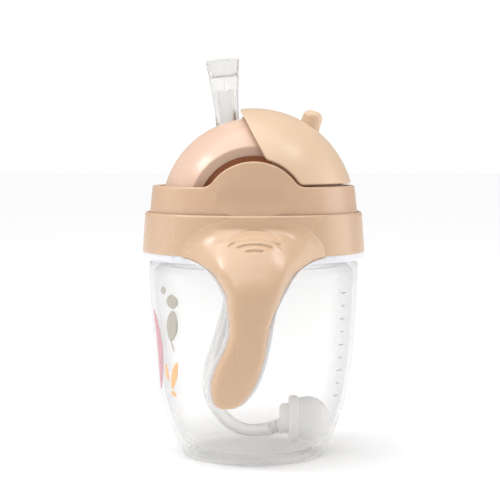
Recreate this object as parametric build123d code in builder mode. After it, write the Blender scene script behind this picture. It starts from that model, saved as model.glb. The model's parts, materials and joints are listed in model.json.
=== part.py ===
from build123d import *
import math
import os

# Toddler training cup with a screw collar, a sliding spherical cover, a folding
# silicone spout, a weighted drinking hose and a clamped ring with two handles.
# Frame: millimetres, +Z up, origin at the centre of the base, the handles at -Y
# and +Y, the cover opening towards +X.

# ---------------------------------------------------------------- cup
WALL = 1.8
CUP_RADIUS = 38.0
FOOT_RADIUS = 24.8
FOOT_CURVE = (26.05, 0.8)
RECESS_RADIUS = 21.5
RECESS_HEIGHT = 1.4
FLOOR_TOP = 3.4
FLOOR_CORNER = [(20.5, FLOOR_TOP), (23.0, 3.85), (25.0, 5.0)]
SHOULDER_HEIGHT = 71.4
SHOULDER_FILLET = 2.0
NECK_RADIUS = 32.0
RIM_HEIGHT = 82.4
RIM_FILLET = 0.5
SIDE_POINTS = [(26.7, 2.4), (30.6, 10.8), (34.0, 21.5), (36.9, 43.0), (CUP_RADIUS, 64.0)]

# ---------------------------------------------------------------- screw thread
THREAD_LEAD = 4.0
THREAD_SINK = 0.3
MALE_CREST = 33.3
MALE_WIDTHS = (2.8, 1.2)
MALE_START = 75.6
MALE_TURNS = 1.25
FEMALE_CREST = 32.7
FEMALE_WIDTHS = (1.9, 0.9)
FEMALE_TURNS = 0.9
COLLAR_BORE = 34.0

# ---------------------------------------------------------------- handle ring
RING_BOTTOM = 71.8
RING_TOP = 88.7
BAND_SPLIT = 74.4
LAP = 1.0
BAND_INSET = 0.2
BAND_BEVEL = 1.0
RING_BEVEL = (0.4, 0.8)
SHELL_TOP_RADIUS = 39.4
SHELL_LOW_RADIUS = 40.4
LINER_RADIUS = 39.3
RING_BORE = 38.2
FLANGE_BORE = 32.7
FLANGE_THICKNESS = 1.5
RIM_OVERHANG = 0.9
RIM_CROWN = 0.6

# Stations of the white liner along each handle, from the ring to the tip. They lie on
# the surface where shell and liner meet:
# x centre, y, z, lean of the path in degrees, half width, depth towards the cup
STATIONS = [
    (0.0, -29.0, 74.2, 3.0, 28.0, 2.2),
    (0.0, -35.0, 73.6, 8.0, 22.4, 2.4),
    (0.0, -40.5, 72.3, 20.0, 17.9, 3.0),
    (0.0, -44.6, 70.2, 36.0, 14.4, 3.5),
    (0.0, -48.2, 66.9, 51.0, 11.8, 3.8),
    (-0.2, -51.4, 61.9, 66.0, 9.0, 4.0),
    (-1.0, -53.8, 54.6, 79.0, 7.0, 4.0),
    (-2.2, -54.7, 47.0, 91.0, 6.9, 4.0),
    (-4.6, -54.2, 40.0, 95.0, 7.8, 4.0),
    (-6.6, -53.6, 34.0, 97.0, 7.7, 3.8),
    (-8.0, -53.1, 29.0, 98.0, 6.1, 3.1),
    (-8.9, -52.8, 26.0, 98.0, 3.8, 2.0),
    (-9.2, -52.7, 25.0, 98.0, 1.6, 0.9),
]

# Level outlines of the shell of each handle, from the top of the ring to the tip:
# z, x centre, then (half width, y) at the root, the flank and the shoulder, and y of
# the crown. The root lies inside the ring or behind the liner.
SHELL_OUTLINES = [
    (RING_TOP - 0.5, 0.0, (26.6, -28.0), (19.5, -33.9), (11.0, -38.3), -40.1),
    (84.5, 0.0, (26.9, -28.0), (19.5, -34.5), (11.3, -39.7), -43.4),
    (80.0, 0.0, (28.0, -27.6), (19.3, -35.7), (11.5, -42.5), -47.4),
    (75.8, 0.0, (29.6, -26.9), (20.4, -37.4), (12.8, -45.8), -51.2),
    (72.4, 0.0, (26.4, -29.8), (18.0, -41.0), (12.6, -49.0), -53.7),
    (69.4, 0.0, (18.4, -37.4), (13.7, -45.6), (10.6, -52.2), -55.5),
    (65.9, 0.1, (12.0, -44.5), (10.9, -50.2), (8.5, -55.2), -57.2),
    (60.6, -0.2, (8.9, -49.2), (8.6, -53.1), (6.7, -56.9), -58.4),
    (52.4, -1.4, (6.9, -51.0), (6.8, -54.4), (5.4, -57.6), -58.8),
    (46.0, -2.5, (6.9, -51.0), (6.9, -54.5), (5.4, -57.5), -58.7),
    (40.0, -4.6, (7.7, -50.5), (7.7, -54.1), (6.1, -57.1), -58.2),
    (34.0, -6.6, (7.6, -50.0), (7.6, -53.6), (6.0, -56.3), -57.4),
    (29.0, -8.0, (6.1, -50.3), (6.1, -53.1), (4.9, -55.0), -55.9),
    (26.0, -8.9, (3.8, -51.0), (3.8, -52.8), (3.0, -54.0), -54.5),
    (25.0, -9.2, (1.6, -51.8), (1.6, -52.7), (1.3, -53.2), -53.5),
]

# Grip grooves over the top of each handle: crown height, half length, arc radius
GRIP_GROOVES = [(84.1, 9.0, 14.6), (81.9, 9.2, 15.6), (79.8, 6.3, 16.0), (77.8, 3.2, 20.0)]
GROOVE_WIDTH = 0.8
GROOVE_DEPTH = 0.4
GROOVE_X = 0.3
GRIP_PLANE = 30.0

# ---------------------------------------------------------------- lid
PIVOT_HEIGHT = 89.3
COLLAR_BOTTOM = 73.7
COLLAR_RADIUS = 37.6
COLLAR_TAPER_START = 89.5
COLLAR_TOP = 98.2
COLLAR_TOP_FILLET = 0.7
COLLAR_INNER = 34.2
WALL_TOP = 108.0
EAR_RADIUS = 17.8
EAR_FOOT_FILLET = 5.0
EAR_TOP_OUTER = 35.5
EAR_TOP_INNER = 33.3
FLOOR_UNDERSIDE = 83.8
FLOOR_TOP_LID = 85.2
THUMB_X = 0.8
THUMB_HEIGHT = 96.6
THUMB_FLOOR = 35.6
THUMB_CURVE = 20.0
THUMB_BEND_CENTRE = 60.0

DOME_RADIUS = 33.7
DOME_WALL = 1.9
CHEEK = 24.7
CHEEK_FILLET = 0.9
CHEEK_RECESS_RADIUS = 19.75
CHEEK_RECESS = 1.6
ROOM_HALF_WIDTH = CHEEK - CHEEK_RECESS - DOME_WALL

# ---------------------------------------------------------------- sliding cover
COVER_OUTER = 36.7
COVER_INNER = 34.6
COVER_CUT_RADIUS = 18.6
COVER_EDGE_HEIGHT = 9.7
COVER_LEAD_ANGLE = 117.3
COVER_LEAD_OFFSET = 12.2
COVER_CORNER_FILLET = 2.5
COVER_EDGE_FILLET = 0.5
ARM_INNER = 25.1
ARM_OUTER = 26.9
ARM_REACH = 27.0
ARM_END_RADIUS = 3.7
STUD_RADIUS = 2.0
STUD_CLEARANCE = 0.08
KNOB_RADIUS = 3.9
KNOB_TAPER = 2.0
KNOB_LEAN = 72.0
KNOB_FOOT = (19.0, 25.9)
KNOB_LENGTH = 10.3
KNOB_TOP_FILLET = 2.7

# ---------------------------------------------------------------- spout
SPOUT_X = -8.9
SPOUT_RADIUS = 4.25
SPOUT_BORE = 2.6
FOLD_HEIGHT = 115.3
SPOUT_TILT = 4.9
SPOUT_LENGTH = 28.3
FLARE_START = 10.0
PLUG_BOTTOM = 17.4
PLUG_TOP = 21.9
NOTCH = 22.7
NOTCH_DEPTH = 0.35
NOTCH_HALF = 0.35
TIP_RADIUS = 6.05
MOUTH_WALL = 1.15
SLIT = (3.2, 0.3)
SPOUT_FLANGE_RADIUS = 8.0
SPOUT_FLANGE_BOTTOM = 82.2
SLOT_HALF_WIDTH = 7.0
CHIMNEY_WALL = 1.4

# ---------------------------------------------------------------- hose and weight
HOSE_RADIUS = 2.5
HOSE_BORE = 1.7
BARB_RADIUS = 1.64
BARB_LENGTH = 3.6
HOSE_TOP = 79.6
HOSE_ROUTE = [
    (SPOUT_X, 0.0, HOSE_TOP),
    (SPOUT_X, 0.0, 70.0),
    (-7.6, 0.0, 58.5),
    (-11.8, 0.0, 43.5),
    (-16.6, 0.0, 29.5),
    (-15.9, 0.0, 19.3),
    (-8.85, 0.0, 9.9),
    (0.2, 0.0, 6.8),
    (8.9, 0.0, 9.3),
]
DUCT_RADIUS = 1.0

# The weight lies along X. Distances along it are measured from its centre.
WEIGHT_CENTRE = (19.8, 0.0, 12.6)
WEIGHT_RADIUS = 8.0
BAND_RADIUS = 8.4
BAND_START = -6.9
BAND_END = -3.3
BAND_CORNER = 0.7
CAP_RADIUS = 5.5
CAP_START = -10.3
CAP_CORNER = 1.5
SPIGOT_RADIUS = 2.9
ROOM_RADIUS = 4.2
ROOM_HALF = 5.0
CORE_CLEARANCE = 0.1
CORE_BORE = 2.2
CORE_CHAMFER = 0.4
INLET_RADII = (0.7, 0.45)
INLET_CIRCLE = 1.6

# ---------------------------------------------------------------- seals
GASKET_INNER = 29.4
GASKET_OUTER = 33.2
GASKET_BOTTOM = 82.7
GASKET_GAP = 0.05
VENT_X = 15.0
VENT_STEM = 2.0
VENT_DISC = 5.0
VENT_BARB = 0.9
VENT_TIP = (0.8, 3.2)


def save(builder, name):
    """Label one finished piece and write it to its own STEP file."""
    builder.part.label = name
    export_step(builder.part, f"parts/{name}.step")


def at_pivot(x, z):
    """A point of the XZ plane, measured from the cover's pivot axis."""
    return (x, PIVOT_HEIGHT + z)


def polar_at_pivot(radius, angle):
    """A point of the XZ plane at a radius and an angle about the pivot axis."""
    angle = math.radians(angle)
    return at_pivot(radius * math.cos(angle), radius * math.sin(angle))


def thread_ridge(root_radius, crest_radius, widths, start, turns):
    """One helical thread ridge, a trapezoid swept along a right-handed helix."""
    root_width, crest_width = widths
    with BuildPart() as ridge:
        with BuildLine() as path:
            Helix(THREAD_LEAD, THREAD_LEAD * turns, root_radius, center=(0, 0, start))
        reach = crest_radius - root_radius
        with BuildSketch(Plane(origin=path.line @ 0, x_dir=(1, 0, 0), z_dir=path.line % 0)):
            with BuildLine():
                Polyline(
                    (0, -root_width / 2),
                    (reach, -crest_width / 2),
                    (reach, crest_width / 2),
                    (0, root_width / 2),
                    close=True,
                )
            make_face()
        sweep(path=path.wire(), is_frenet=True)
    return ridge.part


def station_plane(station):
    """The section plane of one handle station, with its local y facing outwards."""
    x, y, z, lean = station[:4]
    lean = math.radians(lean)
    return Plane(origin=(x, y, z), x_dir=(1, 0, 0), z_dir=(0, -math.cos(lean), -math.sin(lean)))


def liner_section(station):
    """The inner half of a handle, a half ellipse with a rounded rim towards the shell."""
    half_width, depth = station[4:]
    half_width = half_width + RIM_OVERHANG
    with BuildSketch(station_plane(station)) as section:
        with BuildLine():
            EllipticalCenterArc((0, 0), half_width, RIM_CROWN, 0, arc_size=180)
            EllipticalCenterArc((0, 0), half_width, depth, 180, arc_size=180)
        make_face()
    return section.sketch


def shell_section(outline, swell=0.0):
    """A level outline of the handle shell, bell-shaped at the ring and round below it."""
    height, centre, *half_outline, crown = outline
    left = [(centre - half_width, y) for half_width, y in half_outline]
    left[-1] = (left[-1][0], left[-1][1] - swell)
    right = [(2 * centre - x, y) for x, y in reversed(left)]
    with BuildSketch(Plane.XY.offset(height)) as section:
        with BuildLine():
            nose = Spline(left + [(centre, crown - swell)] + right)
            Line(nose @ 1, nose @ 0)
        make_face()
    return section.sketch


def shell_block(swell=0.0):
    """The outside of the front handle, solid back to the root plane."""
    with BuildPart() as block:
        loft(sections=[shell_section(outline, swell) for outline in SHELL_OUTLINES])
    return block.part


os.makedirs("parts", exist_ok=True)

# ---------------------------------------------------------------- cup body
with BuildPart() as cup_body:
    with BuildSketch(Plane.XZ):
        with BuildLine():
            Polyline(
                (0, RECESS_HEIGHT),
                (RECESS_RADIUS, RECESS_HEIGHT),
                (RECESS_RADIUS + RECESS_HEIGHT, 0),
                (FOOT_RADIUS, 0),
            )
            side = Spline(SIDE_POINTS)
            ThreePointArc((FOOT_RADIUS, 0), FOOT_CURVE, side @ 0)
            Line(side @ 1, (CUP_RADIUS, SHOULDER_HEIGHT - SHOULDER_FILLET))
            RadiusArc(
                (CUP_RADIUS, SHOULDER_HEIGHT - SHOULDER_FILLET),
                (CUP_RADIUS - SHOULDER_FILLET, SHOULDER_HEIGHT),
                -SHOULDER_FILLET,
            )
            Polyline(
                (CUP_RADIUS - SHOULDER_FILLET, SHOULDER_HEIGHT),
                (NECK_RADIUS, SHOULDER_HEIGHT),
                (NECK_RADIUS, RIM_HEIGHT),
                (0, RIM_HEIGHT),
                (0, RECESS_HEIGHT),
            )
        make_face()
    revolve(axis=Axis.Z)
    with BuildSketch(Plane.XZ):
        with BuildLine():
            inner_points = [(radius - WALL, height + 0.1 * WALL) for radius, height in SIDE_POINTS[1:]]
            inner = Spline(FLOOR_CORNER[2:] + inner_points)
            ThreePointArc(FLOOR_CORNER[0], FLOOR_CORNER[1], inner @ 0)
            Polyline((0, RIM_HEIGHT), (0, FLOOR_TOP), FLOOR_CORNER[0])
            Polyline(
                inner @ 1,
                (CUP_RADIUS - WALL, SHOULDER_HEIGHT - WALL - SHOULDER_FILLET),
                (CUP_RADIUS - WALL - SHOULDER_FILLET, SHOULDER_HEIGHT - WALL),
                (NECK_RADIUS - WALL / 2, SHOULDER_HEIGHT - WALL),
                (NECK_RADIUS - WALL, SHOULDER_HEIGHT - WALL / 2),
                (NECK_RADIUS - WALL, RIM_HEIGHT),
                (0, RIM_HEIGHT),
            )
        make_face()
    revolve(axis=Axis.Z, mode=Mode.SUBTRACT)
    fillet(cup_body.edges().filter_by(GeomType.CIRCLE).group_by(Axis.Z)[-1], RIM_FILLET)
save(cup_body, "cup_body")

with BuildPart() as cup_thread:
    add(thread_ridge(NECK_RADIUS - THREAD_SINK, MALE_CREST, MALE_WIDTHS, MALE_START, MALE_TURNS))
    Cylinder(NECK_RADIUS, 2 * RIM_HEIGHT, mode=Mode.SUBTRACT)
save(cup_thread, "cup_thread")

# ---------------------------------------------------------------- handle ring and handles
with BuildPart() as split_tool:
    with BuildSketch(Plane.YZ):
        with BuildLine():
            path_points = [(y, z) for _, y, z, *_ in STATIONS]
            leans = [math.radians(station[3]) for station in (STATIONS[0], STATIONS[-1])]
            path = Spline(path_points, tangents=[(-math.cos(lean), -math.sin(lean)) for lean in leans])
            below_tip = path @ 1 - (0, RIM_HEIGHT)
            inside = (path @ 0).X + CUP_RADIUS
            Polyline(path @ 1, below_tip, (inside, below_tip.Y), (inside, (path @ 0).Y), path @ 0)
        make_face()
    extrude(amount=CUP_RADIUS, both=True)

with BuildPart() as ring_core:
    with BuildSketch():
        Circle(RING_BORE)
    extrude(amount=2 * RING_TOP)

with BuildPart() as liner_arm:
    loft(sections=[liner_section(station) for station in STATIONS])
    add(split_tool.part, mode=Mode.INTERSECT)
    add(ring_core.part, mode=Mode.SUBTRACT)

with BuildPart() as handle_liner:
    with BuildSketch(Plane.XZ):
        with BuildLine():
            Polyline(
                (FLANGE_BORE, RING_BOTTOM),
                (SHELL_LOW_RADIUS - BAND_INSET - BAND_BEVEL, RING_BOTTOM),
                (SHELL_LOW_RADIUS - BAND_INSET, RING_BOTTOM + BAND_BEVEL),
                (SHELL_LOW_RADIUS - BAND_INSET, BAND_SPLIT),
                (LINER_RADIUS, BAND_SPLIT),
                (LINER_RADIUS, BAND_SPLIT + LAP / 2),
                (SHELL_TOP_RADIUS - LAP / 2, RING_TOP - LAP),
                (RING_BORE, RING_TOP - LAP),
                (RING_BORE, RING_BOTTOM + FLANGE_THICKNESS),
                (FLANGE_BORE, RING_BOTTOM + FLANGE_THICKNESS),
                close=True,
            )
        make_face()
    revolve(axis=Axis.Z)
    add(liner_arm.part)
    mirror(liner_arm.part, about=Plane.XZ)
save(handle_liner, "handle_liner")

with BuildPart() as grip_grooves:
    with BuildSketch(Plane.XZ.offset(GRIP_PLANE)):
        for crown, half_length, arc_radius in GRIP_GROOVES:
            half_sweep = math.degrees(math.asin(half_length / arc_radius))
            with BuildLine():
                centre = (GROOVE_X, crown - arc_radius)
                upper = CenterArc(centre, arc_radius, 90 - half_sweep, 2 * half_sweep)
                lower = CenterArc(centre, arc_radius - GROOVE_WIDTH, 90 - half_sweep, 2 * half_sweep)
                Line(upper @ 0, lower @ 0)
                Line(upper @ 1, lower @ 1)
            make_face()
    extrude(amount=GRIP_PLANE)
    add(shell_block(-GROOVE_DEPTH), mode=Mode.SUBTRACT)

with BuildPart() as shell_arm:
    add(shell_block())
    add(grip_grooves.part, mode=Mode.SUBTRACT)
    add(split_tool.part, mode=Mode.SUBTRACT)
    add(ring_core.part, mode=Mode.SUBTRACT)

with BuildPart() as handle_shell:
    with BuildSketch(Plane.XZ):
        with BuildLine():
            Polyline(
                (LINER_RADIUS, BAND_SPLIT),
                (SHELL_LOW_RADIUS, BAND_SPLIT),
                (SHELL_TOP_RADIUS, RING_TOP - RING_BEVEL[1]),
                (SHELL_TOP_RADIUS - RING_BEVEL[0], RING_TOP),
                (RING_BORE, RING_TOP),
                (RING_BORE, RING_TOP - LAP),
                (SHELL_TOP_RADIUS - LAP / 2, RING_TOP - LAP),
                (LINER_RADIUS, BAND_SPLIT + LAP / 2),
                close=True,
            )
        make_face()
    revolve(axis=Axis.Z)
    add(shell_arm.part)
    mirror(shell_arm.part, about=Plane.XZ)
    add(handle_liner.part, mode=Mode.SUBTRACT)
save(handle_shell, "handle_shell")

# ---------------------------------------------------------------- screw collar with ears
with BuildPart() as lid_collar:
    with BuildSketch(Plane.XZ):
        with BuildLine():
            Polyline(
                (0, FLOOR_UNDERSIDE),
                (COLLAR_BORE, FLOOR_UNDERSIDE),
                (COLLAR_BORE, COLLAR_BOTTOM),
                (COLLAR_RADIUS, COLLAR_BOTTOM),
                (COLLAR_RADIUS, COLLAR_TAPER_START),
                (EAR_TOP_OUTER, WALL_TOP),
                (EAR_TOP_INNER, WALL_TOP),
                (COLLAR_INNER, FLOOR_TOP_LID),
                (0, FLOOR_TOP_LID),
                close=True,
            )
        make_face()
    revolve(axis=Axis.Z)
    with BuildSketch(Plane.XZ) as outline:
        with Locations((0, (COLLAR_BOTTOM + COLLAR_TOP) / 2)):
            Rectangle(90, COLLAR_TOP - COLLAR_BOTTOM)
        with Locations(at_pivot(0, 0)):
            Circle(EAR_RADIUS)
        ear_feet = outline.vertices().filter_by_position(Axis.Y, COLLAR_TOP - 0.01, COLLAR_TOP + 0.01)
        fillet(ear_feet.sort_by(lambda corner: abs(corner.X))[:2], EAR_FOOT_FILLET)
    extrude(amount=60, both=True, mode=Mode.INTERSECT)
    top_edges = lid_collar.edges().filter_by(lambda edge: edge.center().Z > COLLAR_TOP - 0.1)
    fillet(top_edges, COLLAR_TOP_FILLET)
    for side_sign in (-1, 1):
        with Locations((THUMB_X, -side_sign * THUMB_BEND_CENTRE, THUMB_HEIGHT)):
            Torus(THUMB_BEND_CENTRE + THUMB_FLOOR + THUMB_CURVE, THUMB_CURVE, mode=Mode.SUBTRACT)
    with Locations((SPOUT_X, 0, FLOOR_UNDERSIDE)):
        Cylinder(SPOUT_RADIUS + 0.25, 10, mode=Mode.SUBTRACT)
    with Locations((VENT_X, 0, FLOOR_UNDERSIDE)):
        Cylinder(VENT_STEM, 10, mode=Mode.SUBTRACT)
save(lid_collar, "lid_collar")

with BuildPart() as collar_thread:
    female_start = MALE_START + THREAD_LEAD / 2
    ridge = thread_ridge(COLLAR_BORE + THREAD_SINK, FEMALE_CREST, FEMALE_WIDTHS, female_start, FEMALE_TURNS)
    add(ridge)
    Cylinder(COLLAR_BORE, 2 * RING_TOP, mode=Mode.INTERSECT)
save(collar_thread, "collar_thread")

# ---------------------------------------------------------------- fixed dome
with BuildPart() as lid_dome:
    with BuildSketch(Plane.XZ):
        with BuildLine():
            crown = RadiusArc(at_pivot(0, DOME_RADIUS), at_pivot(DOME_RADIUS, 0), DOME_RADIUS)
            Polyline(crown @ 1, (DOME_RADIUS, FLOOR_TOP_LID), (0, FLOOR_TOP_LID), crown @ 0)
        make_face()
    revolve(axis=Axis.Z)
    with Locations((0, 0, 100)):
        Box(100, 2 * CHEEK, 100, mode=Mode.INTERSECT)
    cheek_rims = lid_dome.edges().filter_by(GeomType.CIRCLE).filter_by(
        lambda edge: abs(abs(edge.center().Y) - CHEEK) < 0.01 and edge.center().Z > PIVOT_HEIGHT
    )
    fillet(cheek_rims, CHEEK_FILLET)
    with BuildPart(mode=Mode.PRIVATE) as dome_room:
        with Locations((0, 0, PIVOT_HEIGHT)):
            Sphere(DOME_RADIUS - DOME_WALL)
            Cylinder(DOME_RADIUS - DOME_WALL, 20, align=(Align.CENTER, Align.CENTER, Align.MAX))
        with Locations((0, 0, 100)):
            Box(100, 2 * ROOM_HALF_WIDTH, 100, mode=Mode.INTERSECT)
        with Locations((-18.5, 0, 100)):
            Box(30, 2 * (SLOT_HALF_WIDTH + CHIMNEY_WALL), 100, mode=Mode.SUBTRACT)
    add(dome_room.part, mode=Mode.SUBTRACT)
    for side_sign in (-1, 1):
        with Locations(Location((0, side_sign * CHEEK, PIVOT_HEIGHT), (90, 0, 0))):
            Cylinder(CHEEK_RECESS_RADIUS, 2 * CHEEK_RECESS, mode=Mode.SUBTRACT)
    with BuildSketch(Plane.XZ):
        with BuildLine():
            Polyline(
                at_pivot(-4.3, 45),
                at_pivot(-4.3, 24.6),
                at_pivot(-6.8, 23.6),
                at_pivot(-21.7, -1.4),
                at_pivot(-45, -1.4),
                at_pivot(-45, 45),
                close=True,
            )
        make_face()
    extrude(amount=SLOT_HALF_WIDTH, both=True, mode=Mode.SUBTRACT)
    with Locations((SPOUT_X, 0, PIVOT_HEIGHT)):
        Cylinder(SPOUT_RADIUS + 0.05, 80, mode=Mode.SUBTRACT)
    with Locations(Location((0, 0, PIVOT_HEIGHT), (90, 0, 0))):
        Cylinder(STUD_RADIUS + STUD_CLEARANCE, 100, mode=Mode.SUBTRACT)
save(lid_dome, "lid_dome")

# ---------------------------------------------------------------- sliding cover
with BuildPart() as cover_arms:
    with BuildSketch(Plane.XZ.offset(-ARM_OUTER)):
        with Locations(at_pivot(0, 0)):
            Circle(ARM_END_RADIUS)
        with BuildLine():
            Polyline(
                polar_at_pivot(ARM_END_RADIUS, 137),
                polar_at_pivot(ARM_REACH, 66),
                polar_at_pivot(ARM_REACH, 28),
                polar_at_pivot(ARM_END_RADIUS, -43),
                close=True,
            )
        make_face()
    extrude(amount=2 * ARM_OUTER)
    with Locations((0, 0, PIVOT_HEIGHT)):
        Box(100, 2 * ARM_INNER, 100, mode=Mode.SUBTRACT)
        Sphere(COVER_OUTER - 0.6, mode=Mode.INTERSECT)
    with Locations(Location((0, 0, PIVOT_HEIGHT), (90, 0, 0))):
        Cylinder(STUD_RADIUS, 2 * ARM_OUTER)
    with Locations((0, 0, PIVOT_HEIGHT)):
        Box(100, 2 * ROOM_HALF_WIDTH - 1, 100, mode=Mode.SUBTRACT)

with BuildPart() as sliding_cover:
    with Locations((0, 0, PIVOT_HEIGHT)):
        Sphere(COVER_OUTER)
        Sphere(COVER_INNER, mode=Mode.SUBTRACT)
    with BuildSketch(Plane.XZ) as outline:
        lead = math.radians(COVER_LEAD_ANGLE)
        foot = (COVER_LEAD_OFFSET * math.sin(lead), -COVER_LEAD_OFFSET * math.cos(lead))
        slope = (math.cos(lead), math.sin(lead))
        with BuildLine():
            Polyline(
                at_pivot(foot[0] - 20 * slope[0], foot[1] - 20 * slope[1]),
                at_pivot(foot[0] + 60 * slope[0], foot[1] + 60 * slope[1]),
                at_pivot(60, 60),
                at_pivot(60, -30),
                close=True,
            )
        make_face()
        with Locations(at_pivot(0, COVER_EDGE_HEIGHT - 50)):
            Rectangle(200, 100, mode=Mode.SUBTRACT)
        with Locations(at_pivot(0, 0)):
            Circle(COVER_CUT_RADIUS, mode=Mode.SUBTRACT)
        near_pivot = outline.vertices().sort_by(
            lambda corner: math.hypot(corner.X, corner.Y - PIVOT_HEIGHT)
        )
        fillet(near_pivot[:2], COVER_CORNER_FILLET)
    extrude(amount=60, both=True, mode=Mode.INTERSECT)
    fillet(sliding_cover.edges(), COVER_EDGE_FILLET)
    knob_foot = at_pivot(*KNOB_FOOT)
    knob_lean = math.radians(KNOB_LEAN)
    knob_plane = Plane(
        origin=(knob_foot[0], 0, knob_foot[1]),
        x_dir=(0, 1, 0),
        z_dir=(math.cos(knob_lean), 0, math.sin(knob_lean)),
    )
    with BuildSketch(knob_plane):
        Circle(KNOB_RADIUS)
    extrude(amount=KNOB_LENGTH, taper=KNOB_TAPER)
    with Locations((0, 0, PIVOT_HEIGHT)):
        Sphere(COVER_INNER, mode=Mode.SUBTRACT)
    knob_top = sliding_cover.edges().filter_by(GeomType.CIRCLE).sort_by(Axis.Z)[-1]
    fillet(knob_top, KNOB_TOP_FILLET)
    add(cover_arms.part)
save(sliding_cover, "sliding_cover")

# ---------------------------------------------------------------- silicone spout
spout_tilt = math.radians(SPOUT_TILT)
fold_point = Vector(SPOUT_X, 0, FOLD_HEIGHT)
spout_direction = Vector(-math.sin(spout_tilt), 0, math.cos(spout_tilt))
fold_plane = Plane(origin=fold_point, x_dir=(0, 1, 0), z_dir=spout_direction)
side_direction = (math.cos(spout_tilt), 0, math.sin(spout_tilt))
spout_axial = Plane(origin=fold_point, x_dir=side_direction, z_dir=(0, -1, 0))

with BuildPart() as spout_base:
    with BuildSketch(Plane.XY.offset(SPOUT_FLANGE_BOTTOM)):
        with Locations((SPOUT_X, 0)):
            Circle(SPOUT_FLANGE_RADIUS)
    extrude(amount=FLOOR_UNDERSIDE - SPOUT_FLANGE_BOTTOM)
    with BuildSketch(Plane.XY.offset(SPOUT_FLANGE_BOTTOM)):
        with Locations((SPOUT_X, 0)):
            Circle(SPOUT_RADIUS)
    extrude(amount=FOLD_HEIGHT - SPOUT_FLANGE_BOTTOM + 3)
    with Locations((SPOUT_X, 0, FOLD_HEIGHT)):
        Cylinder(SPOUT_BORE, 100, mode=Mode.SUBTRACT)
    split(bisect_by=fold_plane, keep=Keep.BOTTOM)
save(spout_base, "spout_base")

with BuildPart() as spout_tip:
    flare = (TIP_RADIUS - SPOUT_RADIUS) / (SPOUT_LENGTH - FLARE_START)
    notch_radius = SPOUT_RADIUS + flare * (NOTCH - FLARE_START)
    with BuildSketch(spout_axial):
        with BuildLine():
            Polyline(
                (SPOUT_BORE, 0),
                (SPOUT_RADIUS, 0),
                (SPOUT_RADIUS, FLARE_START),
                (notch_radius - flare * NOTCH_HALF, NOTCH - NOTCH_HALF),
                (notch_radius - NOTCH_DEPTH, NOTCH),
                (notch_radius + flare * NOTCH_HALF, NOTCH + NOTCH_HALF),
                (TIP_RADIUS, SPOUT_LENGTH - MOUTH_WALL / 2),
                (TIP_RADIUS - MOUTH_WALL / 2, SPOUT_LENGTH),
                (TIP_RADIUS - MOUTH_WALL, SPOUT_LENGTH),
                (TIP_RADIUS - 1.5 * MOUTH_WALL, PLUG_TOP),
                (0, PLUG_TOP),
                (0, PLUG_BOTTOM),
                (SPOUT_BORE + MOUTH_WALL / 2, PLUG_BOTTOM),
                (SPOUT_BORE, FLARE_START),
                close=True,
            )
        make_face()
    revolve(axis=Axis(fold_point, spout_direction))
    plug_centre = fold_point + spout_direction * (PLUG_BOTTOM + PLUG_TOP) / 2
    with BuildSketch(Plane(origin=plug_centre, x_dir=(0, 1, 0), z_dir=spout_direction)):
        Rectangle(*SLIT)
    extrude(amount=PLUG_TOP - PLUG_BOTTOM, both=True, mode=Mode.SUBTRACT)
save(spout_tip, "spout_tip")

# ---------------------------------------------------------------- straw connector
with BuildPart() as straw_connector:
    with BuildSketch(Plane.XZ):
        with BuildLine():
            Polyline(
                (SPOUT_X + 1.0, HOSE_TOP - BARB_LENGTH),
                (SPOUT_X + BARB_RADIUS, HOSE_TOP - BARB_LENGTH),
                (SPOUT_X + BARB_RADIUS, HOSE_TOP),
                (SPOUT_X + SPOUT_FLANGE_RADIUS - 2.0, HOSE_TOP + 0.4),
                (SPOUT_X + SPOUT_FLANGE_RADIUS, HOSE_TOP + 1.2),
                (SPOUT_X + SPOUT_FLANGE_RADIUS, SPOUT_FLANGE_BOTTOM),
                (SPOUT_X + SPOUT_BORE, SPOUT_FLANGE_BOTTOM),
                (SPOUT_X + SPOUT_BORE, SPOUT_FLANGE_BOTTOM + 6),
                (SPOUT_X + 1.6, SPOUT_FLANGE_BOTTOM + 6),
                (SPOUT_X + 1.6, SPOUT_FLANGE_BOTTOM - 1),
                (SPOUT_X + 1.0, HOSE_TOP),
                close=True,
            )
        make_face()
    revolve(axis=Axis((SPOUT_X, 0, 0), (0, 0, 1)))
save(straw_connector, "straw_connector")

# ---------------------------------------------------------------- drinking hose
route = [Vector(*point) for point in HOSE_ROUTE]
runs = [after - before for before, after in zip(route, route[1:])]
hose_radii = []
for before, after in zip(runs, runs[1:]):
    half_turn = math.radians(before.get_angle(after)) / 2
    hose_radii.append(0.45 * min(before.length, after.length) / math.tan(half_turn))
with BuildPart() as hose:
    with BuildLine() as hose_line:
        FilletPolyline(*route, radius=hose_radii)
    with BuildSketch(Plane(origin=route[0], x_dir=(1, 0, 0), z_dir=runs[0])):
        Circle(HOSE_RADIUS)
        Circle(HOSE_BORE, mode=Mode.SUBTRACT)
    sweep(path=hose_line.wire())
save(hose, "hose")
hose_length = hose_line.wire().length
hose_section = math.pi * (HOSE_RADIUS**2 - HOSE_BORE**2)
print("hose arc radii, mm:", [round(radius, 1) for radius in hose_radii])
print(f"hose length {hose_length:.1f} mm")
print(f"hose volume {hose.part.volume:.1f}, section x length {hose_section * hose_length:.1f}")

# ---------------------------------------------------------------- straw weight
weight_centre = Vector(*WEIGHT_CENTRE)
weight_axis = Axis(weight_centre, (1, 0, 0))
weight_axial = Plane(origin=weight_centre, x_dir=(1, 0, 0), z_dir=(0, -1, 0))
hose_end = Plane(origin=route[-1], x_dir=(0, 1, 0), z_dir=runs[-1])
shoulder = -math.sqrt(WEIGHT_RADIUS**2 - BAND_END**2)

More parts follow.
